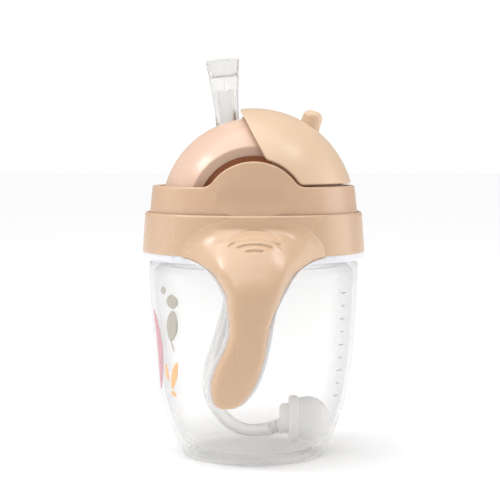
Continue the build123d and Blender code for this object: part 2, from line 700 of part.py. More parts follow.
with BuildPart() as weight_cap:
    with BuildSketch(weight_axial):
        with BuildLine():
            Polyline(
                (0, WEIGHT_RADIUS),
                (0, ROOM_RADIUS),
                (-ROOM_HALF, ROOM_RADIUS),
                (-ROOM_HALF, 0),
                (CAP_START, 0),
                (CAP_START, CAP_RADIUS - CAP_CORNER),
                (CAP_START + CAP_CORNER / 2, CAP_RADIUS - CAP_CORNER / 4),
                (CAP_START + CAP_CORNER, CAP_RADIUS),
                (BAND_START, CAP_RADIUS),
                (BAND_START, BAND_RADIUS - BAND_CORNER),
                (BAND_START + BAND_CORNER, BAND_RADIUS),
                (BAND_END - BAND_CORNER, BAND_RADIUS),
                (BAND_END, BAND_RADIUS - BAND_CORNER),
                (BAND_END, -shoulder),
            )
            RadiusArc((BAND_END, -shoulder), (0, WEIGHT_RADIUS), WEIGHT_RADIUS)
        make_face()
    revolve(axis=weight_axis)
    with BuildSketch(hose_end):
        Circle(SPIGOT_RADIUS)
    extrude(amount=CAP_CORNER)
    with BuildSketch(hose_end):
        Circle(BARB_RADIUS)
    extrude(amount=-BARB_LENGTH)
    with BuildSketch(hose_end):
        Circle(DUCT_RADIUS)
    extrude(amount=2 * BARB_LENGTH, both=True, mode=Mode.SUBTRACT)
save(weight_cap, "weight_cap")

with BuildPart() as weight_base:
    with BuildSketch(weight_axial):
        with BuildLine():
            Polyline(
                (0, WEIGHT_RADIUS),
                (0, ROOM_RADIUS),
                (ROOM_HALF, ROOM_RADIUS),
                (ROOM_HALF, 0),
                (WEIGHT_RADIUS, 0),
            )
            RadiusArc((WEIGHT_RADIUS, 0), (0, WEIGHT_RADIUS), -WEIGHT_RADIUS)
        make_face()
    revolve(axis=weight_axis)
    with BuildSketch(Plane(origin=weight_centre, x_dir=(0, 1, 0), z_dir=(1, 0, 0))):
        Circle(INLET_RADII[0])
        with PolarLocations(INLET_CIRCLE, 4):
            Circle(INLET_RADII[1])
    extrude(amount=2 * WEIGHT_RADIUS, mode=Mode.SUBTRACT)
save(weight_base, "weight_base")

with BuildPart() as weight_core:
    with BuildSketch(Plane(origin=weight_centre, x_dir=(0, 1, 0), z_dir=(1, 0, 0))):
        Circle(ROOM_RADIUS - CORE_CLEARANCE)
        Circle(CORE_BORE, mode=Mode.SUBTRACT)
    extrude(amount=ROOM_HALF - CORE_CLEARANCE, both=True)
    chamfer(weight_core.edges(), CORE_CHAMFER)
save(weight_core, "weight_core")

# ---------------------------------------------------------------- seals
with BuildPart() as seal_gasket:
    with BuildSketch(Plane.XY.offset(GASKET_BOTTOM)):
        Circle(GASKET_OUTER)
        Circle(GASKET_INNER, mode=Mode.SUBTRACT)
    extrude(amount=FLOOR_UNDERSIDE - GASKET_GAP - GASKET_BOTTOM)
    fillet(seal_gasket.edges(), 0.3)
save(seal_gasket, "seal_gasket")

with BuildPart() as vent_valve:
    with BuildSketch(Plane.XZ):
        with BuildLine():
            Polyline(
                (VENT_X, FLOOR_UNDERSIDE - 0.8),
                (VENT_X + VENT_DISC, FLOOR_UNDERSIDE - 0.5),
                (VENT_X + VENT_DISC, FLOOR_UNDERSIDE),
                (VENT_X + VENT_STEM, FLOOR_UNDERSIDE),
                (VENT_X + VENT_STEM, FLOOR_TOP_LID),
                (VENT_X + VENT_STEM + VENT_BARB, FLOOR_TOP_LID),
                (VENT_X + VENT_TIP[0], FLOOR_TOP_LID + VENT_TIP[1]),
                (VENT_X, FLOOR_TOP_LID + VENT_TIP[1]),
                close=True,
            )
        make_face()
    revolve(axis=Axis((VENT_X, 0, 0), (0, 0, 1)))
save(vent_valve, "vent_valve")
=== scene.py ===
import json
import math

import bmesh
import bpy
import numpy as np
from mathutils import Matrix, Vector
from mathutils.bvhtree import BVHTree


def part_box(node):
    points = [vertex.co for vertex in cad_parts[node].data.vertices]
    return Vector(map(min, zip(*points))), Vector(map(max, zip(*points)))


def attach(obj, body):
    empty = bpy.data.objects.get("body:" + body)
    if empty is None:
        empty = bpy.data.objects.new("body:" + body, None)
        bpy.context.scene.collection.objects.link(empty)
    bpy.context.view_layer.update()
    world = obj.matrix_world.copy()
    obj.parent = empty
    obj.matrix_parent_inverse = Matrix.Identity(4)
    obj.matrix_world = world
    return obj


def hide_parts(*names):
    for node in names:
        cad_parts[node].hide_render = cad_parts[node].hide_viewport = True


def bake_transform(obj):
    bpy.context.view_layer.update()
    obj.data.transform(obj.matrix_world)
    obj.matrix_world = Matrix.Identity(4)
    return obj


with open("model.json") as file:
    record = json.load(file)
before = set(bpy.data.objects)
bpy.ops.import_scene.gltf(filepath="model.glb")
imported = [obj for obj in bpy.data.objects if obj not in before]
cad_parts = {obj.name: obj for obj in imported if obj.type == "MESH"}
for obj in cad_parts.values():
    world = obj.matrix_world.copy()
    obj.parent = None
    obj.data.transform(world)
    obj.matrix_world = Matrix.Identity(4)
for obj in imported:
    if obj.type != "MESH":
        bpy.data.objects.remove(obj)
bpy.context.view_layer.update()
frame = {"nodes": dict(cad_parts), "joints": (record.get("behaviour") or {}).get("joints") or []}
nodes = frame["nodes"]
joints = {joint["name"]: joint for joint in frame["joints"]}

MM = 0.001
FOLD = Vector(joints["spout_fold"]["pos_m"])
HOSE_TOP = Vector(joints["hose_swing"]["pos_m"])
LID_FLOOR = joints["lid_turn"]["pos_m"][2]
COVER_PIVOT_HEIGHT = joints["cover_slide"]["pos_m"][2]

# ---------------------------------------------------------------- camera, lights and floor
LENS = 108.7
SENSOR = 36.0
CAMERA_PLACE = (-0.0013, -0.550, 0.112)
CAMERA_DOWN_DEGREES = 3.9
WHITE = (1.0, 1.0, 1.0)
WARM_WHITE = (1.0, 0.98, 0.95)
# Name, place, height that it faces on the cup's axis, side in metres, watts, colour
SOFT_BOXES = [
    ("left_box", (-0.75, 0.12, 0.25), 0.08, 0.50, 0.5, WHITE),
    ("right_box", (0.75, 0.12, 0.25), 0.08, 0.50, 1.6, WARM_WHITE),
    ("left_top", (-0.56, 0.02, 0.60), 0.09, 0.18, 1.3, WHITE),
    ("right_top", (0.42, -0.06, 0.72), 0.09, 0.16, 0.8, WHITE),
    ("front_left", (-0.40, -0.50, 0.60), 0.09, 0.16, 0.3, WHITE),
]
FLOOR_SIDE = 12.0
FLOOR_STEPS = 24


def make_camera():
    """A long lens half a metre in front of the cup, a little above it."""
    data = bpy.data.cameras.new("camera")
    data.lens = LENS
    data.sensor_width = SENSOR
    camera = bpy.data.objects.new("camera", data)
    camera.location = CAMERA_PLACE
    camera.rotation_euler = (math.radians(90 - CAMERA_DOWN_DEGREES), 0, 0)
    bpy.context.scene.collection.objects.link(camera)
    bpy.context.scene.camera = camera


def make_soft_box(name, place, target_height, side, power, colour):
    """A square soft box that faces a point on the cup's axis."""
    data = bpy.data.lights.new(name, "AREA")
    data.shape = "SQUARE"
    data.size = side
    data.energy = power
    data.color = colour
    light = bpy.data.objects.new(name, data)
    light.location = place
    towards = Vector((0, 0, target_height)) - Vector(place)
    light.rotation_euler = towards.to_track_quat("-Z", "Y").to_euler()
    bpy.context.scene.collection.objects.link(light)


def make_overhead(strength, spread_degrees, tilt_degrees):
    """A very wide soft light from above that whitens the whole floor evenly."""
    data = bpy.data.lights.new("overhead", "SUN")
    data.energy = strength
    data.angle = math.radians(spread_degrees)
    light = bpy.data.objects.new("overhead", data)
    light.location = (0, 0, 1)
    light.rotation_euler = [math.radians(angle) for angle in tilt_degrees]
    bpy.context.scene.collection.objects.link(light)


def make_world(ambient, seen_straight, seen_through):
    """A light tent: its walls look white, a little brighter through the clear pieces, and light
    the cup less than that."""
    world = bpy.data.worlds.new("surround")
    world.use_nodes = True
    tree = world.node_tree
    lit = tree.nodes["Background"]
    lit.inputs["Strength"].default_value = ambient
    lit.inputs["Color"].default_value = (*WHITE, 1)
    path = tree.nodes.new("ShaderNodeLightPath")
    shown = lit
    for ray, strength in (("Is Camera Ray", seen_straight), ("Is Transmission Ray", seen_through)):
        seen = tree.nodes.new("ShaderNodeBackground")
        seen.inputs["Color"].default_value = (*WHITE, 1)
        seen.inputs["Strength"].default_value = strength
        mix = tree.nodes.new("ShaderNodeMixShader")
        tree.links.new(path.outputs[ray], mix.inputs[0])
        tree.links.new(shown.outputs[0], mix.inputs[1])
        tree.links.new(seen.outputs[0], mix.inputs[2])
        shown = mix
    tree.links.new(shown.outputs[0], tree.nodes["World Output"].inputs["Surface"])
    bpy.context.scene.world = world
    bpy.context.scene.view_settings.view_transform = "Standard"


# ---------------------------------------------------------------- material tools
# Noise seldom leaves this range of values
NOISE_LOW = 0.15
NOISE_HIGH = 0.85
NOISE_DETAIL = 3.0
BUMP_STRENGTH = 0.6
# Pointiness is 0.5 on a flat face, and these are a soft and a sharp convex edge
SOFT_EDGE = 0.52
SHARP_EDGE = 0.62
WORN_EDGE = (0.5, 0.46, 0.42)
# Milkiness starts to grow from this facing value
TURNING_AWAY = 0.35
EVEN_BLEND = 0.5
# A tint that starts at a height fades in from this share of it
FADE_IN_SHARE = 0.3
# Sockets of the Mix node when it mixes colours
MIX_FACTOR, MIX_BASE, MIX_OVER, MIX_RESULT = 0, 6, 7, 2


class Shader:
    """A Principled material with procedural detail measured in the piece's own metres."""

    def __init__(self, name, colour, roughness):
        self.material = bpy.data.materials.new(name)
        self.material.use_nodes = True
        self.tree = self.material.node_tree
        self.principled = self.tree.nodes["Principled BSDF"]
        self.principled.inputs["Roughness"].default_value = roughness
        self.principled.inputs["Base Color"].default_value = (*colour, 1)
        self.colour = colour
        self.place = self.node("ShaderNodeTexCoord").outputs["Object"]

    def node(self, kind, **values):
        made = self.tree.nodes.new(kind)
        for key, value in values.items():
            setattr(made, key, value)
        return made

    def link(self, start, end):
        self.tree.links.new(start, end)

    def set(self, **values):
        """Plain values for the shader's own sockets."""
        for key, value in values.items():
            self.principled.inputs[key.replace("_", " ")].default_value = value
        return self

    def drive(self, name, source):
        """Links a varying source to one of the shader's own sockets."""
        self.link(source, self.principled.inputs[name])
        return self

    def noise(self, scale, detail=NOISE_DETAIL):
        noise = self.node("ShaderNodeTexNoise")
        noise.inputs["Scale"].default_value = scale
        noise.inputs["Detail"].default_value = detail
        self.link(self.place, noise.inputs["Vector"])
        return noise.outputs["Fac"]

    def spread(self, source, low, high, start, end):
        """Maps a source's values from start to end onto values from low to high."""
        spread = self.node("ShaderNodeMapRange", clamp=True)
        spread.inputs["From Min"].default_value = start
        spread.inputs["From Max"].default_value = end
        spread.inputs["To Min"].default_value = low
        spread.inputs["To Max"].default_value = high
        self.link(source, spread.inputs["Value"])
        return spread.outputs["Result"]

    def calculate(self, operation, *sources):
        result = self.node("ShaderNodeMath", operation=operation)
        for source, socket in zip(sources, result.inputs):
            self.link(source, socket)
        return result.outputs[0]

    def coordinates(self):
        """The X, Y and Z sockets of the place on the piece."""
        split = self.node("ShaderNodeSeparateXYZ")
        self.link(self.place, split.inputs[0])
        return split.outputs["X"], split.outputs["Y"], split.outputs["Z"]

    def facing(self, blend):
        """From 0 where a wall is seen face on to 1 where it is seen edge on."""
        weight = self.node("ShaderNodeLayerWeight")
        weight.inputs["Blend"].default_value = blend
        return weight.outputs["Facing"]

    def paint(self, source):
        self.painted = source
        return self.drive("Base Color", source)

    def paint_over(self, amount, colour, blend_type="MIX"):
        """Mixes a colour into what is painted so far, as much as the amount says."""
        mix = self.node("ShaderNodeMix", data_type="RGBA", blend_type=blend_type)
        self.link(amount, mix.inputs[MIX_FACTOR])
        self.link(self.painted, mix.inputs[MIX_BASE])
        mix.inputs[MIX_OVER].default_value = (*colour, 1)
        return self.paint(mix.outputs[MIX_RESULT])

    def mottle(self, scale, amount, tint=WHITE):
        """Slow colour variation around the base colour, as pigment varies in a moulding."""
        ramp = self.node("ShaderNodeValToRGB")
        darker = [max(0.0, c * (1 - amount) * t) for c, t in zip(self.colour, tint)]
        lighter = [min(1.0, c * (1 + amount)) for c in self.colour]
        stops = ((NOISE_LOW, darker), (NOISE_HIGH, lighter))
        for element, (position, colour) in zip(ramp.color_ramp.elements, stops):
            element.position = position
            element.color = (*colour, 1)
        self.link(self.noise(scale), ramp.inputs["Fac"])
        return self.paint(ramp.outputs["Color"])

    def edge_wear(self, strength):
        """Handling polishes and lightens the convex edges a little."""
        pointiness = self.node("ShaderNodeNewGeometry").outputs["Pointiness"]
        worn = self.spread(pointiness, 0.0, strength, SOFT_EDGE, SHARP_EDGE)
        return self.paint_over(worn, WORN_EDGE, "SCREEN")

    def painted_edge_shade(self, colour, blend, clear_height=None):
        """Painted shade: clear material is painted a darker tint where it is seen along its wall,
        standing in for the dark edges that refraction gives, though not below a height where the wall
        turns into the base."""
        amount = self.facing(blend)
        if clear_height is not None:
            height = self.coordinates()[2]
            above = self.spread(height, 0.0, 1.0, clear_height * FADE_IN_SHARE, clear_height)
            amount = self.calculate("MULTIPLY", amount, above)
        return self.paint_over(amount, colour)

    def milkiness(self, face_on, edge_on, base_on, base_height):
        """A thin translucent wall hides more of what is behind it where it is seen edge on, and
        low down, where the moulding is thick."""
        along_wall = self.spread(self.facing(EVEN_BLEND), face_on, edge_on, TURNING_AWAY, 1.0)
        low_down = self.spread(self.coordinates()[2], base_on, face_on, 0.0, base_height)
        return self.drive("Alpha", self.calculate("MAXIMUM", along_wall, low_down))

    def sheen_spots(self, scale, low, high):
        """Roughness that varies slowly, from handling and from the mould's finish."""
        soft = self.spread(self.noise(scale, detail=2.0), low, high, NOISE_LOW, NOISE_HIGH)
        return self.drive("Roughness", soft)

    def texture(self, layers):
        """Stacked bumps, each (noise scale, depth in metres)."""
        normal = None
        for scale, depth in layers:
            bump = self.node("ShaderNodeBump")
            bump.inputs["Strength"].default_value = BUMP_STRENGTH
            bump.inputs["Distance"].default_value = depth
            self.link(self.noise(scale), bump.inputs["Height"])
            if normal is not None:
                self.link(normal, bump.inputs["Normal"])
            normal = bump.outputs["Normal"]
        return self.drive("Normal", normal)


# ---------------------------------------------------------------- materials
# Painted shade: the round recess in each cheek of the dome is painted a deeper orange where shade falls
# in it, and this painted shade fades out over the recess's rim. It is only on the outside of the wall,
# which is further from the middle plane than the inside
RECESS_SHADE_FULL_RADIUS = 0.0194
RECESS_SHADE_END_RADIUS = 0.0199
INSIDE_OF_WALL = 0.0220
OUTSIDE_OF_WALL = 0.0226


def satin_shader(name, colour, roughness):
    """Spark-eroded moulded plastic with a satin skin."""
    shader = Shader(name, colour, roughness)
    shader.mottle(scale=24.0, amount=0.010, tint=(1.0, 0.995, 0.985))
    shader.edge_wear(strength=0.16)
    shader.sheen_spots(scale=35.0, low=roughness - 0.02, high=roughness + 0.02)
    shader.texture([(3200.0, 0.000008), (420.0, 0.000005)])
    shader.set(Subsurface_Weight=0.12, Subsurface_Radius=(0.9, 0.5, 0.3), Subsurface_Scale=0.002)
    return shader.set(IOR=1.48)


def satin_plastic(name, colour, roughness):
    return satin_shader(name, colour, roughness).material


def dome_plastic(name, colour, shade, roughness):
    """The dome's satin plastic, with painted shade: a deeper orange down in the round recess of each
    cheek, where shade falls.
    """
    shader = satin_shader(name, colour, roughness)
    x, y, z = shader.coordinates()
    cheek = shader.node("ShaderNodeCombineXYZ")
    shader.link(x, cheek.inputs["X"])
    shader.link(z, cheek.inputs["Z"])
    away = shader.node("ShaderNodeVectorMath", operation="DISTANCE")
    away.inputs[1].default_value = (0, 0, COVER_PIVOT_HEIGHT)
    shader.link(cheek.outputs[0], away.inputs[0])
    painted_recess_shade = shader.spread(away.outputs["Value"], 0.0, 1.0, RECESS_SHADE_END_RADIUS, RECESS_SHADE_FULL_RADIUS)
    from_middle = shader.calculate("ABSOLUTE", y)
    outside = shader.spread(from_middle, 0.0, 1.0, INSIDE_OF_WALL, OUTSIDE_OF_WALL)
    # Painted shade: the recess takes the deeper orange shade colour
    shader.paint_over(shader.calculate("MULTIPLY", painted_recess_shade, outside), shade)
    return shader.material


def milky_plastic(name, colour, edge_shade_colour, roughness):
    """Clear moulded plastic with a faint haze, and painted shade that greys it at its edges."""
    shader = Shader(name, colour, roughness)
    shader.mottle(scale=30.0, amount=0.008)
    # Painted shade: darker where the wall is seen edge on
    shader.painted_edge_shade(edge_shade_colour, blend=0.5, clear_height=0.020)
    shader.milkiness(face_on=0.13, edge_on=0.55, base_on=0.30, base_height=0.014)
    shader.sheen_spots(scale=50.0, low=roughness - 0.03, high=roughness + 0.05)
    shader.texture([(240.0, 0.000006), (1500.0, 0.000004)])
    return shader.material


def clear_plastic(name, colour, edge_shade_colour, roughness, transmission, ior):
    """Clear silicone, a touch milky, with fine flow lines in its skin and painted shade at its edges."""
    shader = Shader(name, colour, roughness)
    shader.mottle(scale=55.0, amount=0.012)
    # Painted shade: darker where the wall is seen edge on
    shader.painted_edge_shade(edge_shade_colour, blend=0.35)
    shader.sheen_spots(scale=90.0, low=roughness, high=roughness + 0.05)
    shader.texture([(260.0, 0.000008), (1500.0, 0.000004)])
    shader.set(Transmission_Weight=transmission, IOR=ior)
    return shader.material


def print_ink(name, colour):
    """Opaque screen-print ink with a slightly uneven lay."""
    shader = Shader(name, colour, roughness=0.42)
    shader.mottle(scale=900.0, amount=0.05)
    shader.sheen_spots(scale=1200.0, low=0.36, high=0.5)
    shader.texture([(4200.0, 0.000006)])
    return shader.material


def turned_steel(name):
    """Stainless steel with a fine uneven skin."""
    shader = Shader(name, (0.62, 0.62, 0.63), roughness=0.3)
    shader.mottle(scale=200.0, amount=0.05)
    shader.sheen_spots(scale=700.0, low=0.22, high=0.4)
    shader.texture([(5000.0, 0.00001)])
    shader.set(Metallic=1.0)
    return shader.material


def floor_paper(name):
    """Pale seamless paper."""
    shader = Shader(name, (0.95, 0.95, 0.95), roughness=0.6)
    shader.mottle(scale=9.0, amount=0.004)
    shader.texture([(1600.0, 0.00003)])
    return shader.material


# ---------------------------------------------------------------- mesh tools
ARC_STEPS = 5
# The arc at a corner takes at most this share of each edge beside it
ARC_SHARE = 0.48


def mesh_piece(name, vertices, faces, material):
    """A new smooth mesh object in the row frame."""
    mesh = bpy.data.meshes.new(name)
    mesh.from_pydata([tuple(v) for v in vertices], [], faces)
    mesh.validate()
    work = bmesh.new()
    work.from_mesh(mesh)
    bmesh.ops.recalc_face_normals(work, faces=work.faces)
    work.to_mesh(mesh)
    work.free()
    return show_mesh(name, mesh, material)


def show_mesh(name, mesh, material):
    """Puts a mesh in the scene with smooth faces and one material."""
    for polygon in mesh.polygons:
        polygon.use_smooth = True
    mesh.materials.clear()
    mesh.materials.append(material)
    piece = bpy.data.objects.new(name, mesh)
    bpy.context.scene.collection.objects.link(piece)
    return piece


def rounded(corners):
    """A closed outline through (x, y, radius) corners, each rounded by an arc."""
    outline = []
    count = len(corners)
    for index, (x, y, radius) in enumerate(corners):
        here = Vector((x, y))
        before = Vector(corners[index - 1][:2]) - here
        after = Vector(corners[(index + 1) % count][:2]) - here
        if radius == 0:
            outline.append(here)
            continue
        half = before.angle(after) / 2
        cut = min(radius / math.tan(half), ARC_SHARE * before.length, ARC_SHARE * after.length)
        start = here + before.normalized() * cut
        end = here + after.normalized() * cut
        for step in range(ARC_STEPS + 1):
            t = step / ARC_STEPS
            outline.append(start * (1 - t) ** 2 + here * 2 * t * (1 - t) + end * t**2)
    return outline


def densify(outline, longest):
    """The same closed outline with no edge longer than a limit."""
    dense = []
    for index, here in enumerate(outline):
        after = outline[(index + 1) % len(outline)]
        count = max(1, math.ceil((after - here).length / longest))
        dense.extend(here.lerp(after, step / count) for step in range(count))
    return dense


def lathe(outline, place, segments):
    """Vertices and faces of a closed outline turned about an axis, laid out by place."""
    vertices = []
    for segment in range(segments):
        angle = 2 * math.pi * segment / segments
        vertices.extend(place(point.x, point.y, angle) for point in outline)
    count = len(outline)
    faces = []
    for segment in range(segments):
        here = segment * count
        after = ((segment + 1) % segments) * count
        for index in range(count):
            following = (index + 1) % count
            faces.append((here + index, here + following, after + following, after + index))
    return vertices, faces


def grid_faces(rows, columns, first=0):
    """Faces of a grid of points that are numbered along each row in turn."""
    width = columns + 1
    faces = []
    for row in range(rows):
        for column in range(columns):
            corner = first + row * width + column
            faces.append((corner, corner + 1, corner + 1 + width, corner + width))
    return faces


def smoothstep(t):
    t = min(max(t, 0.0), 1.0)
    return t * t * (3 - 2 * t)


def fade(values, start, end):
    """smoothstep for an array, from 0 at start to 1 at end."""
    t = np.clip((values - start) / (end - start), 0, 1)
    return t * t * (3 - 2 * t)


# ---------------------------------------------------------------- spout
SPOUT_TILT = math.radians(4.9)
# The spout leans over this height round the fold line, and folds over this length above it
LEAN_LENGTH = 0.008
SPOUT_SEGMENTS = 56
SPOUT_EDGE = 0.7
# Millimetres; the tip's heights are above the fold line
SHAFT_RADIUS = 4.25
BORE_RADIUS = 2.6
SLIT_RADIUS = 0.15
FLANGE_GAP = 0.02
VALVE_LOW = 17.4
VALVE_HIGH = 21.9
TIP_HEIGHT = 28.28


def spout_place(radius, height, angle):
    """The spout stands upright to the fold line and leans gently above it."""
    point = Vector((FOLD.x + radius * math.cos(angle) * MM, radius * math.sin(angle) * MM, height * MM))
    lean = SPOUT_TILT * smoothstep((height * MM - FOLD.z + LEAN_LENGTH / 2) / LEAN_LENGTH)
    return FOLD + Matrix.Rotation(-lean, 3, "Y") @ (point - FOLD)


def make_spout(material):
    """One silicone piece: sealing flange, straight shaft, slit valve and flared mouth."""
    fold = FOLD.z / MM
    base_low, base_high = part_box("spout_base")
    flange_low = base_low.z / MM
    flange_high = LID_FLOOR / MM - FLANGE_GAP
    flange_radius = (base_high.x - FOLD.x) / MM
    corners = [
        (BORE_RADIUS, flange_low, 0),
        (flange_radius, flange_low, 0.4),
        (flange_radius, flange_high, 0.3),
        (SHAFT_RADIUS, flange_high, 0.2),
        (SHAFT_RADIUS, fold + 9.0, 12.0),
        (4.62, fold + 15.5, 12.0),
        (5.38, fold + 22.1, 0.4),
        (5.14, fold + 22.45, 0.3),
        (5.14, fold + 22.9, 0.3),
        (5.46, fold + 23.3, 0.4),
        (6.02, fold + TIP_HEIGHT, 0.5),
        (4.95, fold + TIP_HEIGHT, 0.5),
        (4.3, fold + VALVE_HIGH, 0.8),
        (SLIT_RADIUS, fold + VALVE_HIGH, 0.1),
        (SLIT_RADIUS, fold + VALVE_LOW, 0.1),
        (3.1, fold + VALVE_LOW, 0.8),
        (BORE_RADIUS, fold + 12.0, 2.0),
    ]
    outline = densify(rounded(corners), SPOUT_EDGE)
    vertices, faces = lathe(outline, spout_place, SPOUT_SEGMENTS)
    spout = mesh_piece("spout", vertices, faces, material)
    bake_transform(spout)
    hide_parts("spout_base", "spout_tip")


# ---------------------------------------------------------------- hose
HOSE_ROUTE = [
    (-8.9, 0.0, 79.6),
    (-8.9, 0.0, 70.0),
    (-7.6, 0.0, 58.5),
    (-11.8, 0.0, 43.5),
    (-16.6, 0.0, 29.5),
    (-15.9, 0.0, 19.3),
    (-8.85, 0.0, 9.9),
    (0.2, 0.0, 6.8),
    (8.9, 0.0, 9.3),
]
HOSE_DIAMETER = 0.005
HOSE_BORE = 0.0034
HOSE_SIDES = 32


def hose_line():
    """Points along the smooth line of the hose, read from its NURBS spline."""
    curve = bpy.data.curves.new("hose_line", "CURVE")
    curve.dimensions = "3D"
    spline = curve.splines.new("NURBS")
    spline.points.add(len(HOSE_ROUTE) - 1)
    for point, (x, y, z) in zip(spline.points, HOSE_ROUTE):
        point.co = (x * MM, y * MM, z * MM, 1)
    spline.order_u = 3
    spline.use_endpoint_u = True
    spline.resolution_u = 12
    holder = bpy.data.objects.new("hose_line", curve)
    bpy.context.scene.collection.objects.link(holder)
    mesh = bpy.data.meshes.new_from_object(holder)
    points = [vertex.co.copy() for vertex in mesh.vertices]
    bpy.data.objects.remove(holder)
    bpy.data.meshes.remove(mesh)
    if (points[0] - HOSE_TOP).length > (points[-1] - HOSE_TOP).length:
        points.reverse()
    return points


def tube(line, outer, inner, sides):
    """Vertices and faces of a tube with a bore along a line that stays in the XZ plane."""
    across = Vector((0, 1, 0))
    vertices = []
    for index, point in enumerate(line):
        ahead = line[min(index + 1, len(line) - 1)] - line[max(index - 1, 0)]
        upright = across.cross(ahead.normalized())
        for radius in (outer, inner):
            for side in range(sides):
                angle = 2 * math.pi * side / sides
                vertices.append(point + radius * (math.cos(angle) * across + math.sin(angle) * upright))
    faces = []
    ring = 2 * sides
    for index in range(len(line) - 1):
        for layer in (0, sides):
            for side in range(sides):
                start = index * ring + layer + side
                following = index * ring + layer + (side + 1) % sides
                faces.append((start, following, following + ring, start + ring))
    for end in (0, (len(line) - 1) * ring):
        for side in range(sides):
            following = (side + 1) % sides
            faces.append((end + side, end + following, end + sides + following, end + sides + side))
    return vertices, faces


def make_hose(material):
    """A clear tube with a real bore along the hose's line."""
    line = hose_line()
    vertices, faces = tube(line, HOSE_DIAMETER / 2, HOSE_BORE / 2, HOSE_SIDES)
    hose = mesh_piece("drinking_hose", vertices, faces, material)
    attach(hose, "straw")
    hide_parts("hose")


# ---------------------------------------------------------------- handle shell, in millimetres
SKIN_STEP = 0.3
# The ring's outer cone: its lower and upper edge, the radius at each, and its wall between them
RING_HEIGHTS = [74.4, 87.9]
RING_RADII = [40.4, 39.4]
WALL_LOW = 74.6
WALL_HIGH = 87.8
SKIN_DEPTH = 0.3
ON_RING_WITHIN = 0.15
# The top of each bell is drawn in towards the ring by this share, growing between two heights
DRAWN_IN_SHARE = 0.85
DRAWN_IN_HEIGHTS = (79.8, 84.6)
# Lower edge of the bell: out from the middle, and up
BELL_EDGE_OUT = [0.0, 12.3, 14.0, 17.6, 21.3, 25.5, 30.8, 38.0]
BELL_EDGE_UP = [58.0, 68.8, 70.3, 72.3, 73.2, 73.6, 74.1, 74.6]
# Relaxing fades in away from the handle's middle, above the bell's lower edge and off the ring's
# inside, and fades out past the bell's ends and near the ring's top
RELAX_PASSES = 320
RELAX_RATE = 0.6
PAST_MIDDLE = (10.5, 16.0)
PAST_BELL = (31.0, 37.0)
OVER_EDGE = (0.8, 4.0)
NEAR_TOP = (85.5, 88.0)
OFF_INSIDE = (-0.4, -0.1)
# Crown height, half length and radius of each groove's arc
GRIP_GROOVES = [(84.1, 9.0, 14.6), (81.9, 9.2, 15.6), (79.8, 6.3, 16.0), (77.8, 3.2, 20.0)]
GROOVES_MIDDLE = 0.3
# A groove runs a little inside its arc and fades out round its half length
GROOVE_INSIDE_ARC = 0.4
GROOVE_END_BEFORE = 1.2
GROOVE_END_AFTER = 0.2
# Depth and half width of a groove, and height, half width and distance of the ridge beside it
GROOVE_DEPTH = 0.28
GROOVE_HALF_WIDTH = 0.42
RIDGE_HEIGHT = 0.10
RIDGE_HALF_WIDTH = 0.5
RIDGE_AWAY = 0.9


def voxel_skin(node):
    """A copy of a CAD node's skin in small even faces."""
    source = bpy.data.objects.new("shell_skin", nodes[node].data.copy())
    bpy.context.scene.collection.objects.link(source)
    skin = source.modifiers.new("skin", "REMESH")
    skin.mode = "VOXEL"
    skin.voxel_size = SKIN_STEP * MM
    mesh = bpy.data.meshes.new_from_object(source.evaluated_get(bpy.context.evaluated_depsgraph_get()))
    bpy.data.objects.remove(source)
    return mesh


def mesh_points(mesh):
    points = np.empty(len(mesh.vertices) * 3)
    mesh.vertices.foreach_get("co", points)
    return points.reshape(-1, 3)


def mesh_edges(mesh):
    edges = np.empty(len(mesh.edges) * 2, dtype=int)
    mesh.edges.foreach_get("vertices", edges)
    return edges.reshape(-1, 2)


def from_axis(points):
    """Distance from the cup's axis, and the ring's radius at the same height."""
    reach = np.hypot(points[:, 0], points[:, 1]) / MM
    return reach, np.interp(points[:, 2] / MM, RING_HEIGHTS, RING_RADII)


def relax(points, edges, weight):
    """Moves each weighted point towards the middle of its neighbours, many times."""
    near = weight > 0
    kept = edges[near[edges].any(axis=1)]
    degree = np.maximum(np.bincount(kept.ravel(), minlength=len(points)), 1)
    for _ in range(RELAX_PASSES):
        total = np.zeros_like(points)
        for axis in range(3):
            total[:, axis] += np.bincount(kept[:, 0], points[kept[:, 1], axis], len(points))
            total[:, axis] += np.bincount(kept[:, 1], points[kept[:, 0], axis], len(points))
        points[near] += (RELAX_RATE * weight[:, None] * (total / degree[:, None] - points))[near]


def press_grooves(points, side):
    """Arched grip grooves, each with a faint ridge beside it. side is 1 or -1 for a point on the
    outside of the back or front, and 0 for the others."""
    outwards = side * MM
    along = points[:, 0] / MM - GROOVES_MIDDLE
    up = points[:, 2] / MM
    for crown, half_length, radius in GRIP_GROOVES:
        across = np.hypot(along, up - crown + radius) - radius + GROOVE_INSIDE_ARC
        ends = 1 - fade(np.abs(along), half_length - GROOVE_END_BEFORE, half_length + GROOVE_END_AFTER)
        ends *= up > crown - radius
        groove = np.exp(-((across / GROOVE_HALF_WIDTH) ** 2))
        ridge = np.exp(-(((across + RIDGE_AWAY) / RIDGE_HALF_WIDTH) ** 2))
        points[:, 1] -= GROOVE_DEPTH * outwards * ends * groove
        points[:, 1] += RIDGE_HEIGHT * outwards * ends * ridge


